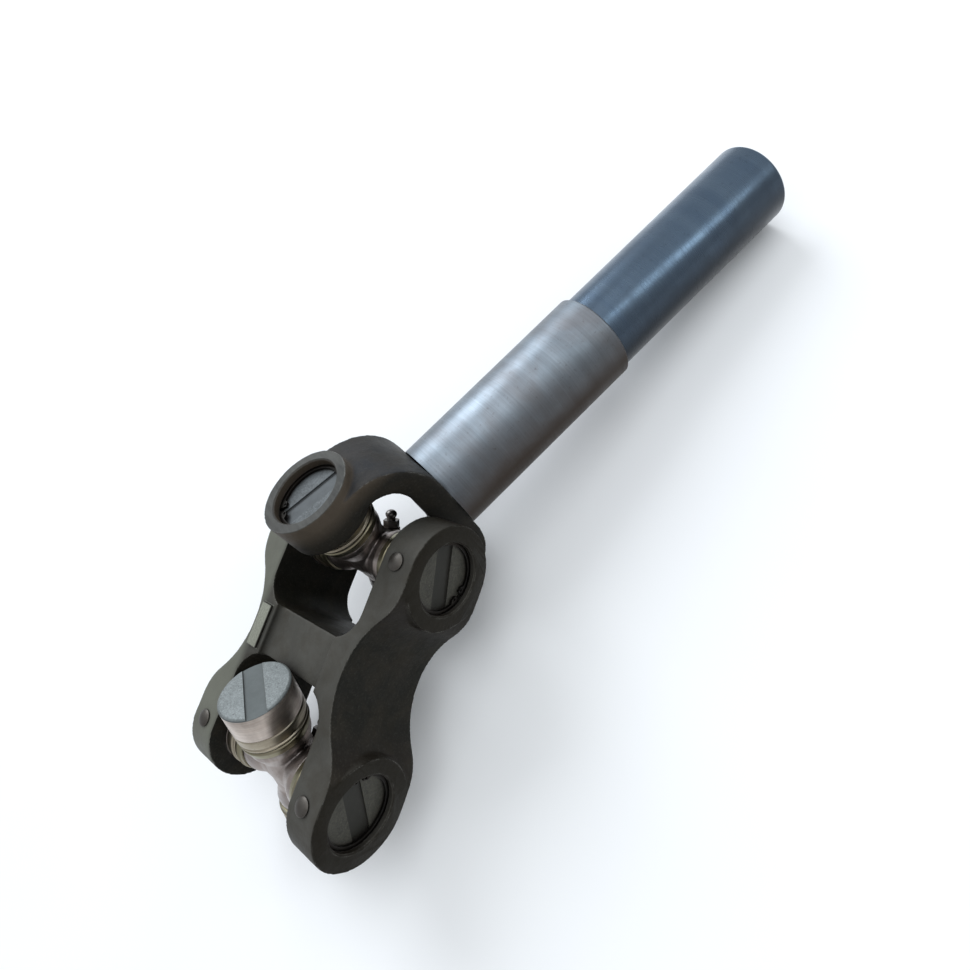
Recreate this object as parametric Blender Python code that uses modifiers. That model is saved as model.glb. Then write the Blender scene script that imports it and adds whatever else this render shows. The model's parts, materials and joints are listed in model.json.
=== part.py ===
"""Universal joint shaft: a centre double yoke between two crosses, and a shaft yoke with its shaft.

Metres, +Z up. The object lies on a flat surface at z = 0 and touches it with the far end of the
shaft, the lower ear of the shaft yoke and the lower loose bearing cup.

Every joint has an empty on its axes:
  centre_frame  middle of the centre yoke, X along the trunnion axes, Z towards the upper joint
  upper_joint   upper cross, X trunnions in the centre yoke, Y trunnions in the shaft yoke
  shaft_frame   shaft yoke and shaft, turned about the Y trunnions, Z along the shaft
  lower_joint   lower cross, X trunnions in the centre yoke, Y trunnions with loose cups
"""
import math

import bmesh
import bpy
from mathutils import Matrix, Vector

MM = 0.001
GAP = 0.3 * MM                      # running gap between touching pieces

# driving dimensions
CUP_RADIUS = 19.5 * MM              # bearing cup
CUP_FACE = 56.1 * MM                # cross centre to the outer face of a cup
CUP_END = 39.2 * MM                 # cross centre to the open end of a cup
SEAL_END = 30.2 * MM                # cross centre to the inner end of a seal cap
JOINT_OFFSET = 61.2 * MM            # middle of the centre yoke to each cross centre
EAR_RADIUS = 29.4 * MM              # ears of the centre yoke, and half its depth
EAR_FACE = 61.4 * MM                # outer faces of the centre yoke's ears
SHAFT_EAR_RADIUS = 25.75 * MM       # ears of the shaft yoke
SHAFT_EAR_FACE = 62.8 * MM          # outer faces of the shaft yoke's ears
YOKE_BASE_TOP = 52.7 * MM           # cross centre to the seat of the shaft
SLEEVE_RADIUS = 28.6 * MM
SLEEVE_END = 184.6 * MM
CORE_RADIUS = 26.1 * MM
CORE_END = 328.4 * MM

# how the joints stand
UPPER_CROSS_ANGLE = math.radians(-16.2)
SHAFT_ANGLE = math.radians(19.3)
LOWER_CROSS_ANGLE = math.radians(-40.0)

# how the centre yoke lies on the surface
LYING_ROTATION = (math.radians(-84.90), math.radians(-9.20), math.radians(-0.41))
LYING_LOCATION = Vector((-38.12, -132.44, 61.74)) * MM

# derived
BORE_RADIUS = CUP_RADIUS + GAP
TRUNNION_RADIUS = 12.5 * MM
TRUNNION_END = 51.6 * MM
SHOULDER = 24.2 * MM                # where a trunnion leaves the body of the cross
CUP_BORE_RADIUS = 15.8 * MM
NEEDLE_OUTER = 15.4 * MM            # needle set
NEEDLE_INNER = 13.1 * MM
DUST_RING_RADIUS = 19.2 * MM
INNER_FACE = 39.8 * MM              # inner faces of all ears
PIN_INSET = 50.0 * MM               # centre plane to the locking pins
CUP_FLOOR = TRUNNION_END + 2 * GAP
RING_IN = CUP_FACE + GAP            # snap ring, inner side
RING_OUT = RING_IN + 1.5 * MM
RING_RADIUS = BORE_RADIUS + 0.9 * MM
STEPS = 24                          # segments of the bearing parts and their bores

parts = bpy.data.collections.new("universal_joint_shaft")
cutters = bpy.data.collections.new("cutters")


def clear_scene():
    for old in list(bpy.data.objects):
        bpy.data.objects.remove(old, do_unlink=True)
    bpy.context.scene.collection.children.link(parts)
    bpy.context.scene.collection.children.link(cutters)


# ---------------------------------------------------------------- materials

def material(name, colour, roughness, metallic):
    mat = bpy.data.materials.new(name)
    mat.use_nodes = True
    shader = mat.node_tree.nodes["Principled BSDF"]
    shader.inputs["Base Color"].default_value = (*colour, 1.0)
    shader.inputs["Roughness"].default_value = roughness
    shader.inputs["Metallic"].default_value = metallic
    return mat


MATERIALS = {
    "forging": material("forging", (0.085, 0.075, 0.065), 0.55, 0.6),
    "bright_steel": material("bright_steel", (0.50, 0.47, 0.45), 0.28, 1.0),
    "blued_steel": material("blued_steel", (0.035, 0.055, 0.085), 0.25, 0.9),
    "ground_steel": material("ground_steel", (0.42, 0.38, 0.34), 0.35, 1.0),
    "cup_steel": material("cup_steel", (0.55, 0.57, 0.60), 0.45, 1.0),
    "zinc": material("zinc", (0.62, 0.62, 0.42), 0.35, 1.0),
    "spring_steel": material("spring_steel", (0.06, 0.06, 0.065), 0.40, 0.9),
    "pin_steel": material("pin_steel", (0.20, 0.17, 0.14), 0.45, 0.9),
}


# ---------------------------------------------------------------- building blocks

def frame(name, parent, location, rotation):
    empty = bpy.data.objects.new(name, None)
    empty.location = location
    empty.rotation_euler = rotation
    empty.parent = parent
    parts.objects.link(empty)
    return empty


def place(obj, mat, parent, location=(0, 0, 0), rotation=(0, 0, 0)):
    """Give a finished piece its material, its frame and its place in that frame."""
    obj.data.materials.clear()
    obj.data.materials.append(MATERIALS[mat])
    obj.parent = parent
    obj.location = location
    obj.rotation_euler = rotation
    return obj


def as_cutter(obj):
    parts.objects.unlink(obj)
    cutters.objects.link(obj)
    obj.hide_render = True
    obj.display_type = "WIRE"
    return obj


def turned(name, profile, closed=False, steps=STEPS):
    """Turn a profile of (radius, height) points, given from top to bottom, about Z."""
    mesh = bpy.data.meshes.new(name)
    bm = bmesh.new()
    verts = [bm.verts.new((radius, 0.0, height)) for radius, height in profile]
    for first, second in zip(verts, verts[1:]):
        bm.edges.new((first, second))
    if closed:
        bm.edges.new((verts[-1], verts[0]))
    bm.to_mesh(mesh)
    bm.free()
    obj = bpy.data.objects.new(name, mesh)
    parts.objects.link(obj)
    screw = obj.modifiers.new("turn", "SCREW")
    screw.steps = steps
    screw.render_steps = steps
    screw.use_merge_vertices = True
    screw.merge_threshold = 0.00002
    screw.use_smooth_shade = True
    return obj


def plate(name, outline, half_thickness):
    """A flat outline in XY, extruded both ways along Z, as a welded mesh."""
    curve = bpy.data.curves.new(name, "CURVE")
    curve.dimensions = "2D"
    curve.fill_mode = "BOTH"
    curve.extrude = half_thickness
    spline = curve.splines.new("POLY")
    spline.points.add(len(outline) - 1)
    for point, (x, y) in zip(spline.points, outline):
        point.co = (x, y, 0.0, 1.0)
    spline.use_cyclic_u = True
    guide = bpy.data.objects.new(name + "_outline", curve)
    parts.objects.link(guide)
    depsgraph = bpy.context.evaluated_depsgraph_get()
    mesh = bpy.data.meshes.new_from_object(guide.evaluated_get(depsgraph))
    bm = bmesh.new()
    bm.from_mesh(mesh)
    bmesh.ops.remove_doubles(bm, verts=bm.verts, dist=0.00001)
    bmesh.ops.recalc_face_normals(bm, faces=bm.faces)
    bm.to_mesh(mesh)
    bm.free()
    obj = bpy.data.objects.new(name, mesh)
    obj.matrix_world = guide.matrix_world
    parts.objects.link(obj)
    bpy.data.objects.remove(guide, do_unlink=True)
    return obj


def block(name, size, centre, rounding=0.0):
    mesh = bpy.data.meshes.new(name)
    bm = bmesh.new()
    bmesh.ops.create_cube(bm, size=1.0)
    bmesh.ops.scale(bm, vec=size, verts=bm.verts)
    bmesh.ops.translate(bm, vec=centre, verts=bm.verts)
    if rounding:
        bmesh.ops.bevel(bm, geom=bm.edges[:], offset=rounding, segments=2, profile=0.5, affect="EDGES")
    bm.to_mesh(mesh)
    bm.free()
    obj = bpy.data.objects.new(name, mesh)
    parts.objects.link(obj)
    return obj


def combine(obj, other, operation):
    """Boolean with a helper piece, which is placed in the frame of the piece that it shapes."""
    as_cutter(other)
    other.parent = obj
    boolean = obj.modifiers.new(operation.lower() + "_" + other.name, "BOOLEAN")
    boolean.operation = operation
    boolean.solver = "EXACT"
    boolean.object = other
    return obj


def arc(centre, radius, start, end, count):
    """Points on a circle from one angle to another, in degrees, both ends included."""
    angles = [math.radians(start + (end - start) * step / count) for step in range(count + 1)]
    return [(centre[0] + radius * math.cos(a), centre[1] + radius * math.sin(a)) for a in angles]


def mirrored(quarter):
    """The whole outline from its first quadrant, which starts on the X axis and ends beside Y."""
    upper = quarter + [(-x, y) for x, y in reversed(quarter)]
    lower = [(x, -y) for x, y in reversed(upper[1:-1])]
    return upper + lower


ALONG_X = (0.0, math.radians(90.0), 0.0)
ALONG_Y = (math.radians(-90.0), 0.0, 0.0)


# ---------------------------------------------------------------- centre yoke

def waist_outline():
    """Outer side of one plate from the waist to the ear: a hollow arc runs into a round one."""
    waist = 42.0 * MM
    ear_start = 50.0 * MM
    hollow = 48.0 * MM
    turn = 2.0 * math.atan((EAR_FACE - waist) / ear_start)
    round_radius = ear_start / math.sin(turn) - hollow
    degrees = math.degrees(turn)
    lower = arc((waist + hollow, 0.0), hollow, 180.0, 180.0 - degrees, 5)
    upper = arc((EAR_FACE - round_radius, ear_start), round_radius, -degrees, 0.0, 4)
    return lower + upper[1:]


def centre_yoke(parent):
    """One casting of two plates with ears at both ends and a web between them, kept as three bodies."""
    web_half = 14.0 * MM
    corner = 18.0 * MM
    top = JOINT_OFFSET + EAR_RADIUS + 1.0 * MM
    inner = arc((INNER_FACE - corner, web_half + corner), corner, 0.0, -90.0, 5)
    quarter = waist_outline() + [(EAR_FACE, top), (INNER_FACE, top)] + inner
    body = plate("centre_yoke", mirrored(quarter), EAR_RADIUS + 5.0 * MM)
    body.data.transform(Matrix.Rotation(math.radians(90.0), 4, "X"))

    side = arc((JOINT_OFFSET, 0.0), EAR_RADIUS, -90.0, 90.0, 14)
    side = side + arc((-JOINT_OFFSET, 0.0), EAR_RADIUS, 90.0, 270.0, 14)
    stadium = plate("yoke_side", side, EAR_FACE + 5.0 * MM)
    stadium.rotation_euler = (0.0, math.radians(90.0), 0.0)
    combine(body, stadium, "INTERSECT")

    for sign in (1, -1):
        dip = block("web_dip", (54.0 * MM, 20.0 * MM, 60.0 * MM), (0.0, sign * 35.0 * MM, 0.0), 2.5 * MM)
        combine(body, dip, "DIFFERENCE")
        boss_base = 52.0 * MM
        for side_sign in (1, -1):
            boss = turned("ear_boss", [(0.0, EAR_FACE), (EAR_RADIUS - 1.0 * MM, EAR_FACE),
                                       (EAR_RADIUS - 0.2 * MM, boss_base), (0.0, boss_base)])
            boss.location = (0.0, 0.0, sign * JOINT_OFFSET)
            boss.rotation_euler = (0.0, side_sign * math.radians(90.0), 0.0)
            combine(body, boss, "UNION")
        bore = bore_cutter("ear_bore", EAR_FACE)
        bore.location = (0.0, 0.0, sign * JOINT_OFFSET)
        bore.rotation_euler = ALONG_X
        combine(body, bore, "DIFFERENCE")

    pad = block("cast_pad", (9.0 * MM, 3.0 * MM, 25.0 * MM), (-34.0 * MM, -EAR_RADIUS + 0.2 * MM, 0.0))
    combine(body, pad, "UNION")
    for x, z in pin_places():
        hole = turned("pin_hole", [(0.0, 1.0 * MM), (3.0 * MM, 1.0 * MM), (3.0 * MM, -6.5 * MM),
                                   (0.0, -6.5 * MM)], steps=12)
        hole.location = (x, -EAR_RADIUS, z)
        hole.rotation_euler = (math.radians(90.0), 0.0, 0.0)
        combine(body, hole, "DIFFERENCE")

    long, cut = 200.0 * MM, INNER_FACE - 0.8 * MM
    wide = EAR_FACE + 5.0 * MM - cut
    for side_sign, side_name in ((1, "right"), (-1, "left")):
        middle = side_sign * (cut + GAP / 2 + wide / 2)
        place(share_of(body, "yoke_plate_" + side_name, (wide, long, long), (middle, 0.0, 0.0)),
              "forging", parent)
    body.name = "yoke_web"
    combine(body, block("web_share", (2 * cut - GAP, long, long), (0.0, 0.0, 0.0)), "INTERSECT")
    return place(body, "forging", parent)


def share_of(body, name, size, centre):
    """The part of a body inside a box, as a body of its own."""
    piece = body.copy()
    piece.data = body.data.copy()
    piece.name = name
    bpy.context.collection.objects.link(piece)
    combine(piece, block(name + "_share", size, centre), "INTERSECT")
    return piece


def bore_cutter(name, face):
    """A bore through both ears of a yoke, with the snap ring grooves and small chamfers."""
    end = face + 3.0 * MM
    half = [(BORE_RADIUS + 0.7 * MM + 3.0 * MM, end), (BORE_RADIUS, face - 0.7 * MM),
            (BORE_RADIUS, RING_OUT + GAP), (RING_RADIUS + GAP, RING_OUT + GAP),
            (RING_RADIUS + GAP, RING_IN - GAP), (BORE_RADIUS, RING_IN - GAP)]
    other_half = [(radius, -height) for radius, height in reversed(half)]
    return turned(name, [(0.0, end)] + half + other_half + [(0.0, -end)])


def pin_places():
    return [(x * PIN_INSET, z * JOINT_OFFSET) for x in (1, -1) for z in (1, -1)]


def locking_pin(name, parent, x, z):
    """A round pin with a low domed head, driven into the front edge of a plate."""
    head = 4.7 * MM
    profile = [(0.0, 2.0 * MM), (3.2 * MM, 1.6 * MM), (head, GAP + 0.4 * MM), (head, GAP),
               (2.7 * MM, GAP), (2.7 * MM, -6.0 * MM), (0.0, -6.0 * MM)]
    pin = turned(name, profile, steps=16)
    return place(pin, "pin_steel", parent, (x, -EAR_RADIUS, z), (math.radians(90.0), 0.0, 0.0))


# ---------------------------------------------------------------- shaft yoke and shaft

def shaft_yoke(parent):
    """A fork with two ears on the Y axis and a base that carries the shaft along Z."""
    arm_face = 57.0 * MM
    outer = 36.0 * MM
    arm_inner = 44.0 * MM
    inner = 18.0 * MM
    inner_top = 36.3 * MM
    bottom = -SHAFT_EAR_RADIUS - 1.0 * MM
    outside = arc((arm_face - outer, YOKE_BASE_TOP - outer), outer, 0.0, 90.0, 7)
    inside = arc((arm_inner - inner, inner_top - inner), inner, 90.0, 0.0, 5)
    half = [(arm_face, bottom)] + outside
    right_inside = inside + [(arm_inner, bottom)]
    left = [(-x, y) for x, y in reversed(half)]
    left_inside = [(-x, y) for x, y in reversed(right_inside)]
    fork = plate("shaft_yoke", half + left + left_inside + right_inside, 34.0 * MM)
    fork.data.transform(Matrix.Rotation(math.radians(90.0), 4, "X"))
    fork.data.transform(Matrix.Rotation(math.radians(90.0), 4, "Z"))

    # the arms are narrowest between the ear and the base
    waist = 23.4 * MM
    waist_height = 24.0 * MM
    ear_side = SHAFT_EAR_RADIUS - GAP
    swell = (ear_side - waist) / waist_height ** 2
    heights = [YOKE_BASE_TOP * step / 6 for step in range(7)]
    flank = [(waist + swell * (height - waist_height) ** 2, height) for height in heights]
    flank[-1] = (flank[-1][0], YOKE_BASE_TOP + 1.0 * MM)
    ear_round = arc((0.0, 0.0), ear_side, 180.0, 360.0, 16)
    left_flank = [(-x, y) for x, y in reversed(flank[1:])]
    front = plate("fork_front", ear_round + flank[1:] + left_flank, 70.0 * MM)
    front.rotation_euler = (math.radians(90.0), 0.0, 0.0)
    combine(fork, front, "INTERSECT")

    for sign in (1, -1):
        boss = turned("fork_boss", [(0.0, SHAFT_EAR_FACE), (SHAFT_EAR_RADIUS - 0.5 * MM, SHAFT_EAR_FACE),
                                    (SHAFT_EAR_RADIUS, SHAFT_EAR_FACE - 0.5 * MM),
                                    (SHAFT_EAR_RADIUS, INNER_FACE), (0.0, INNER_FACE)])
        boss.rotation_euler = (sign * math.radians(-90.0), 0.0, 0.0)
        combine(fork, boss, "UNION")
    bore = bore_cutter("fork_bore", SHAFT_EAR_FACE)
    bore.rotation_euler = ALONG_Y
    combine(fork, bore, "DIFFERENCE")
    return place(fork, "forging", parent)


def shaft_sleeve(parent):
    start = YOKE_BASE_TOP + GAP
    chamfer = 1.0 * MM
    inside = CORE_RADIUS + GAP
    profile = [(SLEEVE_RADIUS - chamfer, SLEEVE_END), (SLEEVE_RADIUS, SLEEVE_END - chamfer),
               (SLEEVE_RADIUS, start), (inside, start), (inside, SLEEVE_END)]
    return place(turned("shaft_sleeve", profile, closed=True, steps=32), "bright_steel", parent)


def shaft_core(parent):
    """The inner shaft, from the base of the yoke out through the sleeve to its plain rounded end."""
    start = YOKE_BASE_TOP + GAP
    rounding = 2.5 * MM
    corner = arc((CORE_RADIUS - rounding, CORE_END - rounding), rounding, 90.0, 0.0, 3)
    profile = [(0.0, CORE_END)] + corner + [(CORE_RADIUS, start), (0.0, start)]
    return place(turned("shaft_core", profile, steps=32), "blued_steel", parent)


# ---------------------------------------------------------------- crosses and bearings

NIPPLE_TILT = math.radians(45.0)    # from the normal of the cross towards its front trunnion
NIPPLE_HEIGHT = 17.4 * MM           # middle of the nipple's seat above the plane of the trunnions
NIPPLE_OFFSET = 1.0 * MM            # and behind the X trunnions


def cross(name, parent):
    """Four trunnions about one body: two turned bars joined at right angles, with a nipple hole."""
    neck = 14.0 * MM
    collar = 17.4 * MM
    half = [(0.0, TRUNNION_END), (TRUNNION_RADIUS - 1.0 * MM, TRUNNION_END),
            (TRUNNION_RADIUS, TRUNNION_END - 1.0 * MM), (TRUNNION_RADIUS, SHOULDER), (collar, SHOULDER),
            (collar, SHOULDER - 4.0 * MM), (neck, 12.0 * MM)]
    profile = half + [(radius, -height) for radius, height in reversed(half)]
    bar = turned(name, profile, steps=16)
    second = turned(name + "_bar", profile, steps=16)
    second.rotation_euler = (0.0, math.radians(90.0), 0.0)
    combine(bar, second, "UNION")
    seat = turned(name + "_nipple_seat", [(0.0, 0.0), (5.2 * MM, 0.0), (5.8 * MM, -8.0 * MM),
                                          (0.0, -8.0 * MM)], steps=12)
    hole = turned(name + "_nipple_hole", [(0.0, 4.0 * MM), (2.8 * MM, 4.0 * MM), (2.8 * MM, -5.0 * MM),
                                          (0.0, -5.0 * MM)], steps=12)
    # in the bar's own frame: Z is one trunnion axis, X the other and Y the normal of the cross
    for helper in (seat, hole):
        helper.location = (0.0, NIPPLE_HEIGHT, -NIPPLE_OFFSET)
        helper.rotation_euler = (-NIPPLE_TILT, 0.0, 0.0)
    combine(bar, seat, "UNION")
    combine(bar, hole, "DIFFERENCE")
    return place(bar, "ground_steel", parent, (0, 0, 0), (math.radians(90.0), 0.0, 0.0))


def grease_nipple(name, parent):
    """Stem, collar, neck and round head, on the slanted seat of a cross."""
    base = GAP
    profile = [(0.0, 9.6 * MM), (1.6 * MM, 9.4 * MM), (2.8 * MM, 8.3 * MM), (3.1 * MM, 7.0 * MM),
               (2.4 * MM, 5.6 * MM), (2.1 * MM, 4.7 * MM), (4.3 * MM, 4.0 * MM), (4.3 * MM, base),
               (2.4 * MM, base), (2.4 * MM, -4.5 * MM), (0.0, -4.5 * MM)]
    nipple = turned(name, profile, steps=12)
    return place(nipple, "pin_steel", parent, (0.0, NIPPLE_OFFSET, NIPPLE_HEIGHT), (NIPPLE_TILT, 0.0, 0.0))


def bearing_cup(name, parent, rotation, groove_angle):
    """A deep cup over a trunnion, with a wide shallow groove across its outer face."""
    chamfer = 0.8 * MM
    profile = [(0.0, CUP_FACE), (CUP_RADIUS - chamfer, CUP_FACE), (CUP_RADIUS, CUP_FACE - chamfer),
               (CUP_RADIUS, CUP_END), (CUP_BORE_RADIUS, CUP_END), (CUP_BORE_RADIUS, CUP_FLOOR),
               (0.0, CUP_FLOOR)]
    cup = turned(name, profile)
    groove = block(name + "_groove", (11.0 * MM, 50.0 * MM, 2.4 * MM), (0.0, 0.0, CUP_FACE))
    groove.data.transform(Matrix.Rotation(math.radians(groove_angle), 4, "Z"))
    combine(cup, groove, "DIFFERENCE")
    return place(cup, "cup_steel", parent, (0, 0, 0), rotation)


def ring(name, mat, parent, rotation, outer, inner, low, high, steps=STEPS):
    """A plain turned ring about a trunnion axis, between two distances from the cross centre."""
    profile = [(outer, high), (outer, low), (inner, low), (inner, high)]
    return place(turned(name, profile, closed=True, steps=steps), mat, parent, (0, 0, 0), rotation)


def snap_ring(name, parent, rotation, gap_angle):
    """An open spring ring with two small lugs, in its groove outside a cup."""
    inner = 17.9 * MM
    lug = 15.6 * MM
    outside = arc((0.0, 0.0), RING_RADIUS, 8.0, 352.0, 22)
    lug_far = arc((0.0, 0.0), lug, 352.0, 338.0, 1)
    inside = arc((0.0, 0.0), inner, 334.0, 26.0, 16)
    lug_near = arc((0.0, 0.0), lug, 22.0, 8.0, 1)
    clip = plate(name, outside + lug_far + inside + lug_near, 0.5 * (RING_OUT - RING_IN))
    clip.data.transform(Matrix.Rotation(math.radians(gap_angle), 4, "Z"))
    clip.data.transform(Matrix.Translation((0.0, 0.0, 0.5 * (RING_OUT + RING_IN))))
    return place(clip, "spring_steel", parent, (0, 0, 0), rotation)


def bearing(label, cross_frame, cup_frame, cup_rotation, cross_rotation, groove_angle):
    """Cup, seal cap and needles ride with the cup; the dust ring rides with the cross."""
    bearing_cup("cup_" + label, cup_frame, cup_rotation, groove_angle)
    ring("seal_cap_" + label, "zinc", cup_frame, cup_rotation,
         CUP_RADIUS, CUP_BORE_RADIUS, SEAL_END, CUP_END - GAP)
    ring("needles_" + label, "ground_steel", cup_frame, cup_rotation,
         NEEDLE_OUTER, NEEDLE_INNER, SEAL_END + 1.0 * MM, TRUNNION_END - 1.0 * MM, steps=12)
    ring("dust_ring_" + label, "zinc", cross_frame, cross_rotation,
         DUST_RING_RADIUS, TRUNNION_RADIUS + GAP, SHOULDER + GAP, SEAL_END - 2 * GAP)


# ---------------------------------------------------------------- assembly

def build():
    clear_scene()
    centre = frame("centre_frame", None, LYING_LOCATION, LYING_ROTATION)
    upper_place = (0.0, 0.0, JOINT_OFFSET)
    lower_place = (0.0, 0.0, -JOINT_OFFSET)
    upper = frame("upper_joint", centre, upper_place, (UPPER_CROSS_ANGLE, 0.0, 0.0))
    shaft = frame("shaft_frame", upper, (0.0, 0.0, 0.0), (0.0, SHAFT_ANGLE, 0.0))
    lower = frame("lower_joint", centre, lower_place, (LOWER_CROSS_ANGLE, 0.0, 0.0))
    upper_ears = frame("upper_ears", centre, upper_place, (0.0, 0.0, 0.0))
    lower_ears = frame("lower_ears", centre, lower_place, (0.0, 0.0, 0.0))

    centre_yoke(centre)
    for x, z in pin_places():
        side = "right" if x > 0 else "left"
        level = "upper" if z > 0 else "lower"
        locking_pin("locking_pin_" + level + "_" + side, centre, x, z)
    shaft_yoke(shaft)
    shaft_sleeve(shaft)
    shaft_core(shaft)
    for level, joint in (("upper", upper), ("lower", lower)):
        cross("cross_" + level, joint)
        grease_nipple("grease_nipple_" + level, joint)

    right = (0.0, math.radians(90.0), 0.0)
    left = (0.0, math.radians(-90.0), 0.0)
    front = (math.radians(90.0), 0.0, 0.0)
    rear = (math.radians(-90.0), 0.0, 0.0)
    bearing("upper_right", upper, upper_ears, right, right, -70.0)
    bearing("upper_left", upper, upper_ears, left, left, 60.0)
    bearing("upper_front", upper, shaft, front, front, -8.0)
    bearing("upper_rear", upper, shaft, rear, rear, 35.0)
    bearing("lower_right", lower, lower_ears, right, right, -52.0)
    bearing("lower_left", lower, lower_ears, left, left, 80.0)
    bearing("lower_front", lower, lower, front, front, 62.0)
    bearing("lower_rear", lower, lower, rear, rear, 15.0)

    snap_ring("snap_ring_upper_right", upper_ears, right, 68.0)
    snap_ring("snap_ring_upper_left", upper_ears, left, 150.0)
    snap_ring("snap_ring_upper_front", shaft, front, 243.0)
    snap_ring("snap_ring_upper_rear", shaft, rear, 60.0)
    snap_ring("snap_ring_lower_right", lower_ears, right, 200.0)
    snap_ring("snap_ring_lower_left", lower_ears, left, 250.0)


build()
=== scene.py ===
"""Looks of the universal joint shaft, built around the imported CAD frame.

Every piece is modelled in the frame of its own joint, in metres, and placed by the joints of the
record. Z is the axis of a turned piece, so that lathe and grinding lines follow it.
"""
import json
import math

import bmesh
import bpy
from mathutils import Matrix, Vector, noise


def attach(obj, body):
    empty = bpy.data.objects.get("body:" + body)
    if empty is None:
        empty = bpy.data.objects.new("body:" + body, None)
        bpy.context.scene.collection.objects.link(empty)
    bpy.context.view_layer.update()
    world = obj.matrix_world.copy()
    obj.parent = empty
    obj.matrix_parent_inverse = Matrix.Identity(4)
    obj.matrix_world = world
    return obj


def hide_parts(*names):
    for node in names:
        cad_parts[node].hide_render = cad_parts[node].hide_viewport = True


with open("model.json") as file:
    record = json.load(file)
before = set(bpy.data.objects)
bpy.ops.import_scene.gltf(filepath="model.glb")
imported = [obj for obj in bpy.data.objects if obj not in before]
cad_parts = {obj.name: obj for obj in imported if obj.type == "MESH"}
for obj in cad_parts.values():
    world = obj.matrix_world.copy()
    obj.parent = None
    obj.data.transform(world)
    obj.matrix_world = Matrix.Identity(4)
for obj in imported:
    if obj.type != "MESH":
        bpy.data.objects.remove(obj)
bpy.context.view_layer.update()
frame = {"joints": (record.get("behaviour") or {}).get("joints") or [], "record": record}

MM = 0.001
GAP = 0.3 * MM

# driving dimensions, the same as the CAD part's
CUP_RADIUS = 19.5 * MM
CUP_FACE = 56.1 * MM
CUP_END = 39.2 * MM
SEAL_END = 30.2 * MM
EAR_RADIUS = 29.4 * MM
EAR_FACE = 61.4 * MM
SHAFT_EAR_RADIUS = 25.75 * MM
SHAFT_EAR_FACE = 62.8 * MM
YOKE_BASE_TOP = 52.7 * MM
SLEEVE_RADIUS = 28.6 * MM
SLEEVE_END = 184.6 * MM
CORE_RADIUS = 26.1 * MM
CORE_END = 328.4 * MM
TRUNNION_RADIUS = 12.5 * MM
TRUNNION_END = 51.6 * MM
SHOULDER = 24.2 * MM
CUP_BORE_RADIUS = 15.8 * MM
NEEDLE_OUTER = 15.4 * MM
NEEDLE_INNER = 13.1 * MM
PIN_INSET = 50.0 * MM               # centre plane to the locking pins
INNER_FACE = 39.8 * MM              # inner faces of the ears
BORE_RADIUS = CUP_RADIUS + GAP
RING_IN = CUP_FACE + GAP
RING_OUT = RING_IN + 1.5 * MM
RING_RADIUS = BORE_RADIUS + 0.9 * MM

PAD_X = -34.0 * MM                  # middle of the raised pad on the left plate
PAD_WIDTH = 9.0 * MM
PAD_LENGTH = 25.0 * MM

STEPS = 96                          # segments of a turned piece
SHARP_DEGREES = 35                  # edges bent further than this stay sharp
CAST_VOXEL = 0.85 * MM              # mesh size of the castings
OVER = 0.5 * MM                     # cast on the ear faces, then machined off


# ---------------------------------------------------------------- frames, from the record's joints

JOINTS = {joint["name"]: joint for joint in frame["joints"]}
MOUNTS = {mount["name"]: mount for mount in frame["record"]["mounts"]}


def axes(origin, x, y):
    """A frame with its origin and the directions of its X and Y axes."""
    x, y = x.normalized(), y.normalized()
    directions = Matrix((x, y, x.cross(y))).transposed().to_4x4()
    return Matrix.Translation(origin) @ directions


def joint_axis(name):
    return Vector(JOINTS[name]["axis"]).normalized()


UPPER = Vector(JOINTS["upper_cross_pivot"]["pos_m"])
LOWER = Vector(JOINTS["lower_cross_pivot"]["pos_m"])
JOINT_OFFSET = (UPPER - LOWER).length / 2
EAR_AXIS = joint_axis("upper_cross_pivot")
FORK_AXIS = joint_axis("shaft_pivot")
LOOSE_AXIS = joint_axis("rear_cup_spin")
SHAFT_AXIS = Vector(MOUNTS["shaft_end_face"]["axis"]).normalized()
YOKE_DEPTH = (UPPER - LOWER).cross(EAR_AXIS)

CENTRE = axes((UPPER + LOWER) / 2, EAR_AXIS, YOKE_DEPTH)
UPPER_EARS = axes(UPPER, EAR_AXIS, YOKE_DEPTH)
LOWER_EARS = axes(LOWER, EAR_AXIS, YOKE_DEPTH)
UPPER_CROSS = axes(UPPER, EAR_AXIS, FORK_AXIS)
LOWER_CROSS = axes(LOWER, EAR_AXIS, LOOSE_AXIS)
SHAFT = axes(UPPER, FORK_AXIS.cross(SHAFT_AXIS), FORK_AXIS)


def turn(axis, degrees):
    return Matrix.Rotation(math.radians(degrees), 4, axis)


ALONG = {"right": turn("Y", 90), "left": turn("Y", -90),
         "front": turn("X", 90), "rear": turn("X", -90)}


# ---------------------------------------------------------------- materials

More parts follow.
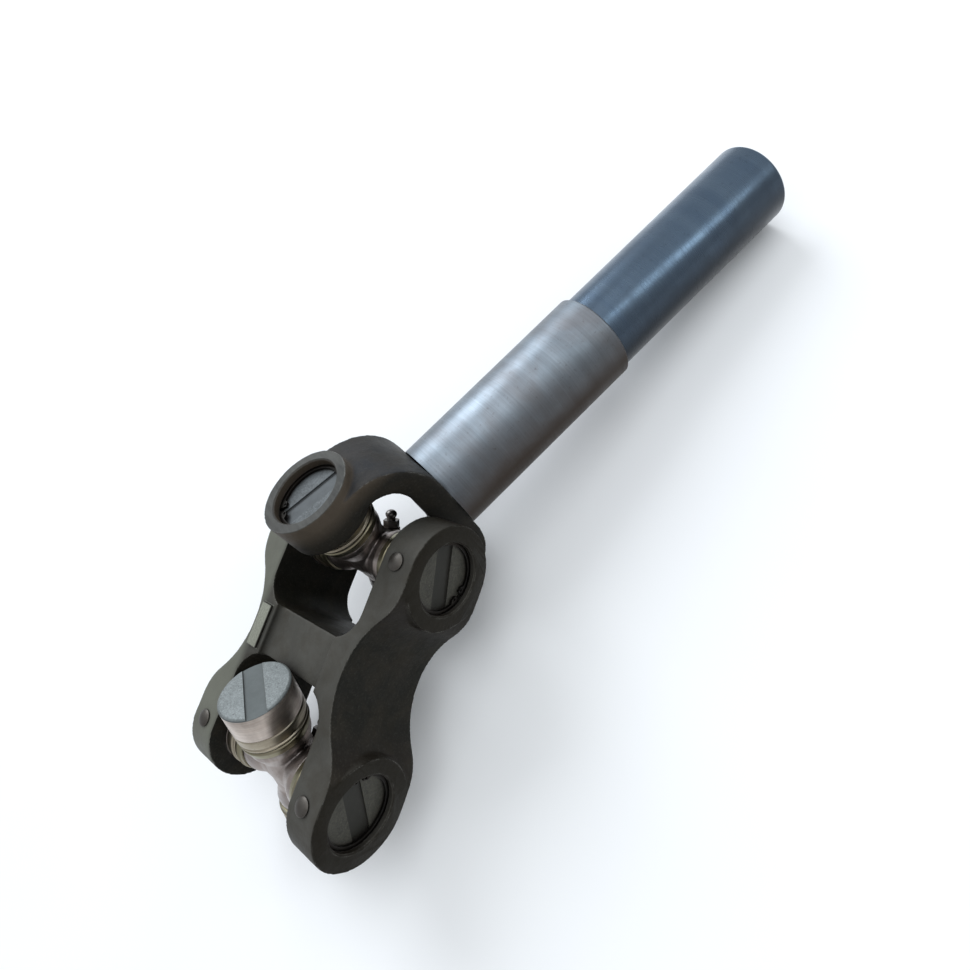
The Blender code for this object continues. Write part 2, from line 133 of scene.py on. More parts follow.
class Nodes:
    """A short way to write a node tree: each call adds a node and returns its output."""

    def __init__(self, name):
        self.material = bpy.data.materials.new(name)
        self.material.use_nodes = True
        self.tree = self.material.node_tree
        self.shader = self.tree.nodes["Principled BSDF"]
        coordinates = self.tree.nodes.new("ShaderNodeTexCoord")
        self.place = coordinates.outputs["Object"]
        self.normal = coordinates.outputs["Normal"]

    def add(self, kind, inputs, output=0, **settings):
        node = self.tree.nodes.new("ShaderNode" + kind)
        for name, value in settings.items():
            setattr(node, name, value)
        for key, value in inputs.items():
            self.put(node.inputs[key], value)
        return node.outputs[output]

    def put(self, socket, value):
        if isinstance(value, bpy.types.NodeSocket):
            self.tree.links.new(value, socket)
        else:
            socket.default_value = value

    def math(self, operation, a, b=0.0):
        return self.add("Math", {0: a, 1: b}, operation=operation)

    def times(self, a, b):
        return self.math("MULTIPLY", a, b)

    def remap(self, value, low, high, to_low=0.0, to_high=1.0):
        return self.add("MapRange", {"Value": value, "From Min": low, "From Max": high,
                                     "To Min": to_low, "To Max": to_high})

    def noise(self, scale, detail=3.0, roughness=0.55, stretch=(1, 1, 1), distortion=0.0):
        mapped = self.add("Mapping", {"Vector": self.place, "Scale": stretch})
        return self.add("TexNoise", {"Vector": mapped, "Scale": scale, "Detail": detail,
                                     "Roughness": roughness, "Distortion": distortion})

    def mix(self, factor, a, b):
        node = self.tree.nodes.new("ShaderNodeMix")
        node.data_type = "RGBA"
        for index, value in ((0, factor), (6, a), (7, b)):
            if index and not isinstance(value, bpy.types.NodeSocket):
                value = (*value, 1.0)
            self.put(node.inputs[index], value)
        return node.outputs[2]

    def edges(self, radius):
        """1 on edges, 0 on plain faces: where a bevelled normal leaves the true one."""
        soft = self.add("Bevel", {"Radius": radius}, samples=4)
        true = self.add("NewGeometry", {}, output="Normal")
        same = self.add("VectorMath", {0: soft, 1: true}, output="Value", operation="DOT_PRODUCT")
        return self.remap(self.math("SUBTRACT", 1.0, same), 0.02, 0.22)

    def hollow_shade_and_grime(self, distance):
        """Painted shade and grime: 1 in corners and hollows, 0 in the open."""
        open_air = self.add("AmbientOcclusion", {"Distance": distance}, output="AO", samples=6)
        return self.remap(open_air, 0.85, 0.35)

    def bump(self, height, distance):
        return self.add("Bump", {"Height": height, "Strength": 0.5, "Distance": distance})

    def surface(self, colour, roughness, metallic, normal=None):
        settings = {"Base Color": colour, "Roughness": roughness, "Metallic": metallic}
        for name, value in settings.items():
            self.put(self.shader.inputs[name], value)
        if normal is not None:
            self.put(self.shader.inputs["Normal"], normal)
        return self.material

    def along(self, axis):
        return self.add("SeparateXYZ", {0: self.place}, output=axis)

    def coordinate(self, axis):
        """The distance from the middle, the same on both sides."""
        return self.math("ABSOLUTE", self.along(axis))


def pale_pad(n, colour, pad, upward, patches, grain):
    """A paler front edge on the left plate, on its faces turned up (painted light, with dust), and a
    paler face on the raised pad.
    """
    across = n.along("X")
    # paler where the front edge of the left plate faces up: painted light, with dust
    edge = n.times(n.remap(across, -36 * MM, -42 * MM), n.remap(upward, -0.35, -0.85))
    edge = n.times(edge, n.remap(patches, 0.0, 1.0, 0.65, 1.0))
    colour = n.mix(edge, colour, [0.55 * c for c in pad])
    inner, outer, end = PAD_X + PAD_WIDTH / 2, PAD_X - PAD_WIDTH / 2, PAD_LENGTH / 2
    face = n.times(n.remap(across, inner + 0.5 * MM, inner - 0.3 * MM),
                   n.remap(across, outer - 0.5 * MM, outer + 0.1 * MM))
    face = n.times(face, n.remap(n.coordinate("Z"), end + 0.7 * MM, end + 0.1 * MM))
    face = n.times(face, n.remap(upward, -0.80, -0.97))
    return n.mix(n.times(face, n.remap(grain, 0.3, 0.7, 0.55, 1.0)), colour, pad)


def casting(name, machined_axis, machined_from, shade_colour, lit_and_dust_colour, boss_colour, machined,
            pad=None):
    """Dark oily casting: granular skin, a paler upper side (painted light, with dust), rusty bosses,
    worn edges, and painted shade and grime in its hollows.

    pad is the colour of the raised pad, for the casting that has one.
    """
    n = Nodes(name)
    patches = n.remap(n.noise(22, 5, 0.6), 0.38, 0.66)
    blotches = n.remap(n.noise(75, 4, 0.65, distortion=0.4), 0.42, 0.68)
    grain = n.noise(900, 3, 0.6)
    skin = n.noise(260, 4, 0.6)
    upward = n.add("SeparateXYZ", {0: n.normal}, output="Y")
    # paler on the faces turned up: painted light, with dust
    lit_and_dust = n.times(n.remap(upward, -0.25, -0.95), n.remap(patches, 0.0, 1.0, 0.6, 1.0))
    colour = n.mix(patches, shade_colour, [1.35 * c for c in shade_colour])
    near_boss = n.remap(n.coordinate(machined_axis), 47 * MM, 56 * MM, 0.0, 0.85)
    colour = n.mix(near_boss, colour, boss_colour)
    colour = n.mix(lit_and_dust, colour, lit_and_dust_colour)
    colour = n.mix(n.times(blotches, 0.35), colour, (0.030, 0.023, 0.014))
    colour = n.mix(n.remap(grain, 0.52, 0.78, 0.0, 0.22), colour, (0.075, 0.072, 0.060))
    if pad:
        colour = pale_pad(n, colour, pad, upward, patches, grain)
    ear = n.remap(n.coordinate(machined_axis), machined_from - 0.5 * MM, machined_from)
    lathe = n.noise(600, 3, 0.6, (0.15, 0.15, 1.0))
    colour = n.mix(n.times(ear, n.remap(lathe, 0.3, 0.7, 0.55, 1.0)), colour, machined)
    worn = n.times(n.edges(1.2 * MM), n.remap(n.noise(150, 4, 0.7), 0.44, 0.60))
    colour = n.mix(n.times(worn, 0.75), colour, (0.19, 0.185, 0.170))
    # painted shade and grime in corners and hollows
    colour = n.mix(n.times(n.hollow_shade_and_grime(9 * MM), 0.8), colour, (0.008, 0.007, 0.006))
    roughness = n.remap(n.math("ADD", patches, skin), 0.3, 1.4, 0.44, 0.66)
    roughness = n.math("SUBTRACT", roughness, n.times(worn, 0.12))
    metallic = n.remap(n.math("MAXIMUM", worn, ear), 0.0, 1.0, 0.15, 0.5)
    relief = n.math("ADD", skin, n.times(grain, 0.45))
    n.shader.inputs["Specular IOR Level"].default_value = 0.16
    return n.surface(colour, roughness, metallic, n.bump(relief, 0.35 * MM))


def turned_steel(name, base, tint, rust, roughness, rust_share, line_depth=0.02 * MM,
                 painted_underside=None):
    """Turned or ground steel: fine lines round its axis, smudges, tarnish, bright edges, and painted
    shade and grime in its hollows.

    The last argument is (direction in X, direction in Y, radius, colour): a painted shade and a
    painted reflection of the floor, darkening the side lying down.
    """
    n = Nodes(name)
    lines = n.noise(1500, 3, 0.7, (0.02, 0.02, 1.0))
    bands = n.noise(90, 2, 0.5, (0.04, 0.04, 1.0))
    smudges = n.noise(28, 4, 0.6, distortion=0.3)
    specks = n.remap(n.noise(420, 4, 0.7), 0.60, 0.72)
    colour = n.mix(n.remap(bands, 0.35, 0.65), base, tint)
    colour = n.mix(n.remap(lines, 0.3, 0.75, 0.0, 0.35), colour, [0.6 * c for c in base])
    tarnish = n.times(n.remap(smudges, 0.42, 0.66), rust_share)
    colour = n.mix(tarnish, colour, rust)
    colour = n.mix(n.times(specks, 0.4), colour, [0.4 * c for c in rust])
    if painted_underside:
        # painted shade and painted reflection of the floor on the side lying down
        x, y, radius, underside_shade = painted_underside
        down = n.add("VectorMath", {0: n.place, 1: (x / radius, y / radius, 0.0)}, output="Value",
                     operation="DOT_PRODUCT")
        down = n.math("ADD", down, n.remap(smudges, 0.3, 0.7, -0.04, 0.04))
        colour = n.mix(n.remap(down, -0.10, 0.85), colour, underside_shade)
    worn = n.times(n.edges(0.8 * MM), n.remap(n.noise(200, 3, 0.7), 0.40, 0.60))
    colour = n.mix(n.times(worn, 0.6), colour, [min(1.0, 1.5 * c + 0.05) for c in base])
    # painted shade and grime in corners and hollows
    colour = n.mix(n.times(n.hollow_shade_and_grime(4 * MM), 0.7), colour, (0.02, 0.016, 0.012))
    rough = n.remap(n.math("ADD", smudges, n.times(lines, 0.6)), 0.5, 1.1,
                    roughness - 0.06, roughness + 0.12)
    return n.surface(colour, rough, 1.0, n.bump(lines, line_depth))


def cup_material(name, side_colours, face_colours, groove_colour):
    """Cup: brushed side, and a granular face inside its chamfer with a smoother, darker groove."""
    n = Nodes(name)
    lines = n.noise(1300, 3, 0.7, (0.02, 0.02, 1.0))
    grain = n.noise(1100, 3, 0.7)
    blots = n.remap(n.noise(120, 5, 0.65), 0.35, 0.70)
    side = n.mix(n.remap(lines, 0.3, 0.7), *side_colours)
    stains = n.remap(n.noise(60, 4, 0.6), 0.45, 0.7, 0.0, 0.6)
    side = n.mix(stains, side, [0.45 * c for c in side_colours[0]])
    face = n.mix(blots, *face_colours)
    face = n.mix(n.remap(grain, 0.42, 0.70, 0.0, 0.8), face, [1.5 * c for c in face_colours[1]])
    face = n.mix(n.remap(n.noise(700, 4, 0.7), 0.58, 0.70, 0.0, 0.8), face, (0.05, 0.05, 0.05))
    height = n.coordinate("Z")
    sunk = n.remap(height, CUP_FACE - 0.9 * MM, CUP_FACE - 0.5 * MM, 1.0, 0.0)
    face = n.mix(sunk, face, n.mix(blots, groove_colour, [1.25 * c for c in groove_colour]))
    end = n.remap(height, CUP_FACE - 1.6 * MM, CUP_FACE - 1.3 * MM)
    colour = n.mix(end, side, face)
    # painted shade and grime in corners and hollows
    colour = n.mix(n.times(n.hollow_shade_and_grime(3 * MM), 0.85), colour, (0.03, 0.026, 0.022))
    relief = n.mix(end, lines, grain)
    roughness = n.remap(end, 0.0, 1.0, 0.34, 0.55)
    metallic = n.remap(end, 0.0, 1.0, 0.95, 0.45)
    return n.surface(colour, roughness, metallic, n.bump(relief, 0.08 * MM))


MATERIALS = {
    "centre_casting": casting("centre_casting", "X", EAR_FACE - 0.15 * MM, (0.0062, 0.0058, 0.0038),
                              (0.076, 0.073, 0.064), (0.012, 0.009, 0.006), (0.013, 0.011, 0.007),
                              (0.270, 0.275, 0.225)),
    "fork_forging": casting("fork_forging", "Y", SHAFT_EAR_FACE - 0.15 * MM, (0.0110, 0.0098, 0.0075),
                            (0.022, 0.024, 0.028), (0.075, 0.058, 0.042), (0.075, 0.075, 0.070)),
    # the sleeve and the core carry a painted shade and a painted reflection of the floor on the side
    # lying down
    "sleeve_steel": turned_steel("sleeve_steel", (0.20, 0.23, 0.26), (0.26, 0.30, 0.34),
                                 (0.17, 0.14, 0.13), 0.42, 0.40, 0.04 * MM,
                                 (0.75, 0.66, SLEEVE_RADIUS, (0.048, 0.037, 0.030))),
    "core_steel": turned_steel("core_steel", (0.105, 0.150, 0.210), (0.130, 0.180, 0.240),
                               (0.075, 0.095, 0.120), 0.25, 0.45, 0.015 * MM,
                               (0.75, 0.66, CORE_RADIUS, (0.028, 0.034, 0.042))),
    "cross_steel": turned_steel("cross_steel", (0.36, 0.31, 0.28), (0.42, 0.40, 0.40),
                                (0.20, 0.14, 0.11), 0.33, 0.6),
    "nipple_steel": turned_steel("nipple_steel", (0.17, 0.155, 0.145), (0.22, 0.21, 0.20),
                                 (0.06, 0.045, 0.035), 0.34, 0.5),
    "cup_steel": cup_material("cup_steel", ((0.46, 0.38, 0.33), (0.62, 0.55, 0.49)),
                              ((0.125, 0.138, 0.137), (0.175, 0.19, 0.19)), (0.080, 0.090, 0.090)),
    # a darker copy of the cup steel for the other cups seated in ears
    "cup_steel_seated": cup_material("cup_steel_seated", ((0.36, 0.30, 0.26), (0.46, 0.40, 0.36)),
                                    ((0.060, 0.066, 0.068), (0.105, 0.115, 0.12)),
                                    (0.075, 0.082, 0.086)),
    # darker copy for the cups in the right ears, which face away from the key lamp: painted shade
    "cup_steel_shaded": cup_material("cup_steel_shaded", ((0.20, 0.17, 0.13), (0.26, 0.22, 0.18)),
                                    ((0.024, 0.023, 0.017), (0.050, 0.047, 0.036)),
                                    (0.016, 0.015, 0.011)),
    "seal_steel": turned_steel("seal_steel", (0.38, 0.33, 0.25), (0.46, 0.41, 0.32),
                               (0.17, 0.13, 0.09), 0.34, 0.5),
    "needle_steel": turned_steel("needle_steel", (0.48, 0.46, 0.44), (0.54, 0.52, 0.50),
                                 (0.20, 0.15, 0.11), 0.26, 0.2),
    "zinc_ring": turned_steel("zinc_ring", (0.17, 0.14, 0.10), (0.32, 0.31, 0.20),
                              (0.24, 0.19, 0.15), 0.32, 0.6),
    "spring_steel": turned_steel("spring_steel", (0.018, 0.017, 0.016), (0.028, 0.026, 0.024),
                                 (0.03, 0.022, 0.016), 0.45, 0.5),
    "pin_steel": turned_steel("pin_steel", (0.085, 0.078, 0.070), (0.125, 0.115, 0.105),
                              (0.05, 0.035, 0.025), 0.45, 0.6),
}


# ---------------------------------------------------------------- mesh building

def new_object(name, bm):
    """An object made from this mesh, which is used up."""
    bmesh.ops.recalc_face_normals(bm, faces=bm.faces)
    mesh = bpy.data.meshes.new(name)
    bm.to_mesh(mesh)
    bm.free()
    obj = bpy.data.objects.new(name, mesh)
    bpy.context.scene.collection.objects.link(obj)
    return obj


def shade(obj):
    """Smooth shading, but for the sharp edges."""
    bm = bmesh.new()
    bm.from_mesh(obj.data)
    for face in bm.faces:
        face.smooth = True
    limit = math.radians(SHARP_DEGREES)
    for edge in bm.edges:
        edge.smooth = len(edge.link_faces) == 2 and edge.calc_face_angle(0.0) < limit
    bm.to_mesh(obj.data)
    bm.free()
    return obj


def arc(centre, radius, start, end, count):
    angles = [math.radians(start + (end - start) * step / count) for step in range(count + 1)]
    return [(centre[0] + radius * math.cos(a), centre[1] + radius * math.sin(a)) for a in angles]


def rounded(points, radius, closed=False, count=4):
    """The outline with its corners rounded, each as far as its sides allow."""
    result = []
    last = len(points) - 1
    for index, point in enumerate(points):
        if not closed and index in (0, last):
            result.append(point)
            continue
        here = Vector(point)
        before = Vector(points[index - 1]) - here
        after = Vector(points[(index + 1) % len(points)]) - here
        reach = min(radius, 0.45 * before.length, 0.45 * after.length)
        start, end = here + before.normalized() * reach, here + after.normalized() * reach
        for step in range(count + 1):
            t = step / count
            result.append(tuple(start * (1 - t) ** 2 + here * 2 * t * (1 - t) + end * t ** 2))
    return result


def turned(name, profile, steps=STEPS, closed=False):
    """Turn (radius, height) points about Z. An open profile starts and ends on the axis."""
    bm = bmesh.new()
    rings = []
    for radius, height in profile:
        if radius < 1e-6:
            rings.append([bm.verts.new((0.0, 0.0, height))] * steps)
            continue
        angles = [2 * math.pi * step / steps for step in range(steps)]
        rings.append([bm.verts.new((radius * math.cos(a), radius * math.sin(a), height))
                      for a in angles])
    pairs = list(zip(rings, rings[1:]))
    if closed:
        pairs.append((rings[-1], rings[0]))
    for low, high in pairs:
        for step in range(steps):
            after = (step + 1) % steps
            corners = [low[step], low[after], high[after], high[step]]
            unique = [v for i, v in enumerate(corners) if v not in corners[:i]]
            bm.faces.new(unique)
    return new_object(name, bm)


def prism(name, outline, low, high):
    """A flat outline in XY, extruded along Z."""
    bm = bmesh.new()
    bottom = [bm.verts.new((x, y, low)) for x, y in outline]
    top = [bm.verts.new((x, y, high)) for x, y in outline]
    bm.faces.new(bottom)
    bm.faces.new(top)
    for index in range(len(outline)):
        after = (index + 1) % len(outline)
        bm.faces.new((bottom[index], bottom[after], top[after], top[index]))
    return new_object(name, bm)


def block(name, size, centre, rounding=0.0):
    bm = bmesh.new()
    bmesh.ops.create_cube(bm, size=1.0)
    bmesh.ops.scale(bm, vec=size, verts=bm.verts)
    bmesh.ops.translate(bm, vec=centre, verts=bm.verts)
    if rounding:
        bmesh.ops.bevel(bm, geom=bm.edges[:], offset=rounding, segments=4, profile=0.5,
                        affect="EDGES")
    return new_object(name, bm)


def moved(obj, matrix):
    obj.data.transform(matrix)
    return obj


def apply_modifiers(obj):
    depsgraph = bpy.context.evaluated_depsgraph_get()
    mesh = bpy.data.meshes.new_from_object(obj.evaluated_get(depsgraph))
    obj.modifiers.clear()
    obj.data = mesh
    return obj


def combine(obj, *helpers, operation="DIFFERENCE"):
    for helper in helpers:
        boolean = obj.modifiers.new("cut", "BOOLEAN")
        boolean.operation = operation
        boolean.solver = "EXACT"
        boolean.object = helper
        apply_modifiers(obj)
        bpy.data.objects.remove(helper, do_unlink=True)
    return obj


def cast_skin(obj, smoothing, unevenness=0.12 * MM, voxel=None):
    """Remesh a blocky body into one skin with soft edges and the slight unevenness of a casting."""
    remesh = obj.modifiers.new("skin", "REMESH")
    remesh.mode = "VOXEL"
    remesh.voxel_size = voxel or (CAST_VOXEL)
    smooth = obj.modifiers.new("soften", "SMOOTH")
    smooth.factor = 0.5
    smooth.iterations = smoothing
    apply_modifiers(obj)
    vertices = obj.data.vertices
    outward = [normal.vector.copy() for normal in obj.data.vertex_normals]
    waves = [noise.noise(v.co * 90.0) + 0.5 * noise.noise(v.co * 260.0) for v in vertices]
    for vertex, direction, wave in zip(vertices, outward, waves):
        vertex.co += direction * wave * unevenness
    return obj


def finish_piece(obj, slot, body, place, nodes, finish=None):
    """Give a piece its material, its place in the row frame and its body, and hide the CAD nodes it
    stands for.
    """
    shade(obj)
    obj.data.materials.clear()
    obj.data.materials.append(MATERIALS[finish or slot])
    obj.matrix_world = place
    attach(obj, body)
    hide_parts(*nodes)
    return obj


# ---------------------------------------------------------------- centre yoke

def mirrored(quarter):
    upper = quarter + [(-x, y) for x, y in reversed(quarter)]
    lower = [(x, -y) for x, y in reversed(upper[1:-1])]
    return upper + lower


def waist_outline():
    """Outer side of one plate from the waist to the ear: a hollow arc runs into a round one."""
    waist, ear_start, hollow = 42.0 * MM, 50.0 * MM, 48.0 * MM
    bend = 2.0 * math.atan((EAR_FACE - waist) / ear_start)
    round_radius = ear_start / math.sin(bend) - hollow
    degrees = math.degrees(bend)
    lower = arc((waist + hollow, 0.0), hollow, 180.0, 180.0 - degrees, 14)
    upper = arc((EAR_FACE - round_radius, ear_start), round_radius, -degrees, 0.0, 12)
    return lower + upper[1:]


def bore_cutter(name, face):
    """A bore through both ears, with its snap ring grooves and chamfers."""
    end = face + 3.0 * MM
    half = [(BORE_RADIUS + 0.8 * MM + 3.0 * MM, end), (BORE_RADIUS, face - 0.8 * MM),
            (BORE_RADIUS, RING_OUT + GAP), (RING_RADIUS + GAP, RING_OUT + GAP),
            (RING_RADIUS + GAP, RING_IN - GAP), (BORE_RADIUS, RING_IN - GAP)]
    other_half = [(radius, -height) for radius, height in reversed(half)]
    return turned(name, [(0.0, end)] + half + other_half + [(0.0, -end)])


def pin_places():
    return [(side, level, x * PIN_INSET, z * JOINT_OFFSET)
            for side, x in (("right", 1), ("left", -1))
            for level, z in (("upper", 1), ("lower", -1))]


def centre_yoke():
    """One casting: two waisted plates with ears and bosses, a web between, and a raised pad."""
    web_half, corner = 14.0 * MM, 18.0 * MM
    top = JOINT_OFFSET + EAR_RADIUS + 1.0 * MM
    inner = arc((INNER_FACE - corner, web_half + corner), corner, 0.0, -90.0, 14)
    outer = waist_outline()
    quarter = outer + [(EAR_FACE, top), (INNER_FACE, top)] + inner
    body = prism("centre_yoke_cast", mirrored(quarter), -EAR_RADIUS - 5 * MM, EAR_RADIUS + 5 * MM)
    moved(body, turn("X", 90))
    side = arc((JOINT_OFFSET, 0.0), EAR_RADIUS, -90.0, 90.0, 48)
    side = side + arc((-JOINT_OFFSET, 0.0), EAR_RADIUS, 90.0, 270.0, 48)
    stadium = moved(prism("side", side, -EAR_FACE - 5 * MM, EAR_FACE + 5 * MM), turn("Y", 90))
    combine(body, stadium, operation="INTERSECT")
    boss_base = 52.0 * MM
    for sign in (1, -1):
        dip = block("dip", (54 * MM, 20 * MM, 60 * MM), (0.0, sign * 35 * MM, 0.0), 4.5 * MM)
        combine(body, dip)
        for way in ("right", "left"):
            boss = turned("boss", [(0.0, EAR_FACE + OVER), (EAR_RADIUS - 1.0 * MM, EAR_FACE + OVER),
                                   (EAR_RADIUS - 0.2 * MM, boss_base), (0.0, boss_base)])
            moved(boss, Matrix.Translation((0.0, 0.0, sign * JOINT_OFFSET)) @ ALONG[way])
            combine(body, boss, operation="UNION")
    cast_skin(body, smoothing=4)
    pad = block("pad", (PAD_WIDTH, 6 * MM, PAD_LENGTH), (PAD_X, -EAR_RADIUS + 1.4 * MM, 0.0),
                0.6 * MM)
    combine(body, pad, operation="UNION")

    machined = block("faces", (2 * EAR_FACE, 80 * MM, 200 * MM), (0.0, 0.0, 0.0))
    combine(body, machined, operation="INTERSECT")
    for sign in (1, -1):
        bore = moved(bore_cutter("bore", EAR_FACE), ALONG["right"])
        moved(bore, Matrix.Translation((0.0, 0.0, sign * JOINT_OFFSET)))
        combine(body, bore)
    for _, _, x, z in pin_places():
        hole = turned("hole", [(0.0, 1 * MM), (3 * MM, 1 * MM), (3 * MM, -6.5 * MM),
                               (0.0, -6.5 * MM)], 24)
        moved(hole, Matrix.Translation((x, -EAR_RADIUS, z)) @ turn("X", 90))
        combine(body, hole)
    finish_piece(body, "centre_casting", "centre_yoke", CENTRE,
                 ["yoke_web", "yoke_plate_right", "yoke_plate_left"])


def locking_pins():
    head, low = 4.7 * MM, GAP
    dome = arc((0.0, low + 1.9 * MM - 9.0 * MM), 9.0 * MM, 90.0, 61.0, 6)
    profile = dome + [(head, low + 0.5 * MM), (head, low), (2.7 * MM, low), (2.7 * MM, -6 * MM),
                      (0.0, -6 * MM)]
    for side, level, x, z in pin_places():
        pin = turned(f"pin_{level}_{side}", profile, 40)
        place = CENTRE @ Matrix.Translation((x, -EAR_RADIUS, z)) @ turn("X", 90)
        finish_piece(pin, "pin_steel", "centre_yoke", place, [f"locking_pin_{level}_{side}"])


# ---------------------------------------------------------------- shaft yoke and shaft

def shaft_yoke():
    """Fork: two arms bent from a base, with a waist, and an ear with a boss on each arm."""
    arm_face, outer, arm_inner, inner, inner_top = 57 * MM, 36 * MM, 44 * MM, 18 * MM, 36.3 * MM
    seat_over = 1.2 * MM                # cast above the seat of the shaft, then faced off
    bottom = -SHAFT_EAR_RADIUS - 1 * MM
    outside = arc((arm_face - outer, YOKE_BASE_TOP - outer), outer, 0.0, 90.0, 24)
    outside[-1] = (outside[-1][0], YOKE_BASE_TOP + seat_over)
    half = [(arm_face, bottom)] + outside
    right_inside = arc((arm_inner - inner, inner_top - inner), inner, 90.0, 0.0, 14)
    right_inside.append((arm_inner, bottom))
    left = [(-x, y) for x, y in reversed(half)]
    left_inside = [(-x, y) for x, y in reversed(right_inside)]
    fork = prism("shaft_yoke_cast", half + left + left_inside + right_inside, -34 * MM, 34 * MM)
    moved(fork, turn("Z", 90) @ turn("X", 90))

    waist, waist_height = 23.4 * MM, 24 * MM
    ear_side = SHAFT_EAR_RADIUS - GAP
    swell = (ear_side - waist) / waist_height ** 2
    heights = [YOKE_BASE_TOP * step / 16 for step in range(17)]
    flank = [(waist + swell * (height - waist_height) ** 2, height) for height in heights]
    flank[-1] = (flank[-1][0], YOKE_BASE_TOP + 2 * seat_over)
    ear_round = arc((0.0, 0.0), ear_side, 180.0, 360.0, 48)
    left_flank = [(-x, y) for x, y in reversed(flank[1:])]
    front = prism("front", ear_round + flank[1:] + left_flank, -70 * MM, 70 * MM)
    combine(fork, moved(front, turn("X", 90)), operation="INTERSECT")
    for way in ("front", "rear"):
        boss = turned("boss", [(0.0, SHAFT_EAR_FACE + OVER),
                               (SHAFT_EAR_RADIUS, SHAFT_EAR_FACE + OVER),
                               (SHAFT_EAR_RADIUS, INNER_FACE), (0.0, INNER_FACE)])
        combine(fork, moved(boss, ALONG[way]), operation="UNION")
    cast_skin(fork, smoothing=5, unevenness=0.05 * MM)

    reach = 100 * MM
    machined = block("faces", (80 * MM, 2 * SHAFT_EAR_FACE, reach),
                     (0.0, 0.0, YOKE_BASE_TOP - reach / 2))
    combine(fork, machined, operation="INTERSECT")
    combine(fork, moved(bore_cutter("bore", SHAFT_EAR_FACE), ALONG["rear"]))
    finish_piece(fork, "fork_forging", "shaft", SHAFT, ["shaft_yoke"])


def shaft_sleeve():
    start, chamfer, inside = YOKE_BASE_TOP + 0.05 * MM, 0.9 * MM, CORE_RADIUS + GAP
    profile = [(inside, SLEEVE_END), (SLEEVE_RADIUS - chamfer, SLEEVE_END),
               (SLEEVE_RADIUS, SLEEVE_END - chamfer), (SLEEVE_RADIUS, start), (inside, start)]
    sleeve = turned("sleeve", rounded(profile, 0.25 * MM, closed=True, count=3), 160, closed=True)
    finish_piece(sleeve, "sleeve_steel", "shaft", SHAFT, ["shaft_sleeve"])


def shaft_core():
    start, rounding = YOKE_BASE_TOP + GAP, 2.5 * MM
    corner = arc((CORE_RADIUS - rounding, CORE_END - rounding), rounding, 90.0, 0.0, 10)
    profile = [(0.0, CORE_END)] + corner + [(CORE_RADIUS, start), (0.0, start)]
    core = turned("core", profile, 160)
    finish_piece(core, "core_steel", "shaft", SHAFT, ["shaft_core"])


# ---------------------------------------------------------------- crosses and bearings

NIPPLE_TILT = 45.0
NIPPLE_HEIGHT = 17.4 * MM
NIPPLE_OFFSET = 1.0 * MM


def cross(level, place):
    """Forged body with soft corners between four ground trunnions."""
    neck, collar = 14.0 * MM, 17.4 * MM
    half = [(0.0, SHOULDER), (collar, SHOULDER), (collar, SHOULDER - 4 * MM), (neck, 12 * MM)]
    profile = half + [(radius, -height) for radius, height in reversed(half)]
    body = moved(turned("hub", profile, 64), turn("X", 90))
    combine(body, moved(turned("bar", profile, 64), turn("Y", 90)), operation="UNION")
    seat_place = Matrix.Translation((0.0, NIPPLE_OFFSET, NIPPLE_HEIGHT)) @ turn("X", NIPPLE_TILT)
    seat = turned("seat", [(0.0, 0.0), (5.2 * MM, 0.0), (5.8 * MM, -8 * MM), (0.0, -8 * MM)], 32)
    combine(body, moved(seat, seat_place), operation="UNION")
    cast_skin(body, smoothing=5, unevenness=0.06 * MM, voxel=0.7 * MM)
    bar = [(0.0, TRUNNION_END), (TRUNNION_RADIUS - 1 * MM, TRUNNION_END),
           (TRUNNION_RADIUS, TRUNNION_END - 1 * MM), (TRUNNION_RADIUS, SHOULDER - 1 * MM),
           (0.0, SHOULDER - 1 * MM)]
    for way in ALONG.values():
        combine(body, moved(turned("trunnion", bar, 64), way), operation="UNION")
    hole = turned("hole", [(0.0, 4 * MM), (2.8 * MM, 4 * MM), (2.8 * MM, -5 * MM),
                           (0.0, -5 * MM)], 32)
    combine(body, moved(hole, seat_place))
    finish_piece(body, "cross_steel", level + "_cross", place, ["cross_" + level])
    nipple(level, place @ seat_place)


def nipple(level, place):
    """Hexagon base, neck and ball head with a dimple in its tip."""
    profile = [(0.0, 10.0 * MM), (0.8 * MM, 10.4 * MM), (1.8 * MM, 10.2 * MM),
               (3.0 * MM, 9.2 * MM), (3.5 * MM, 7.8 * MM), (3.0 * MM, 6.4 * MM),
               (2.4 * MM, 5.6 * MM), (2.6 * MM, 4.4 * MM), (2.4 * MM, -4.5 * MM),
               (0.0, -4.5 * MM)]
    body = turned("nipple_" + level, rounded(profile, 0.5 * MM, count=3), 40)
    hexagon = prism("hexagon", arc((0.0, 0.0), 4.8 * MM, 0.0, 300.0, 5), GAP, 4.4 * MM)
    combine(body, hexagon, operation="UNION")
    finish_piece(body, "nipple_steel", level + "_cross", place, ["grease_nipple_" + level])


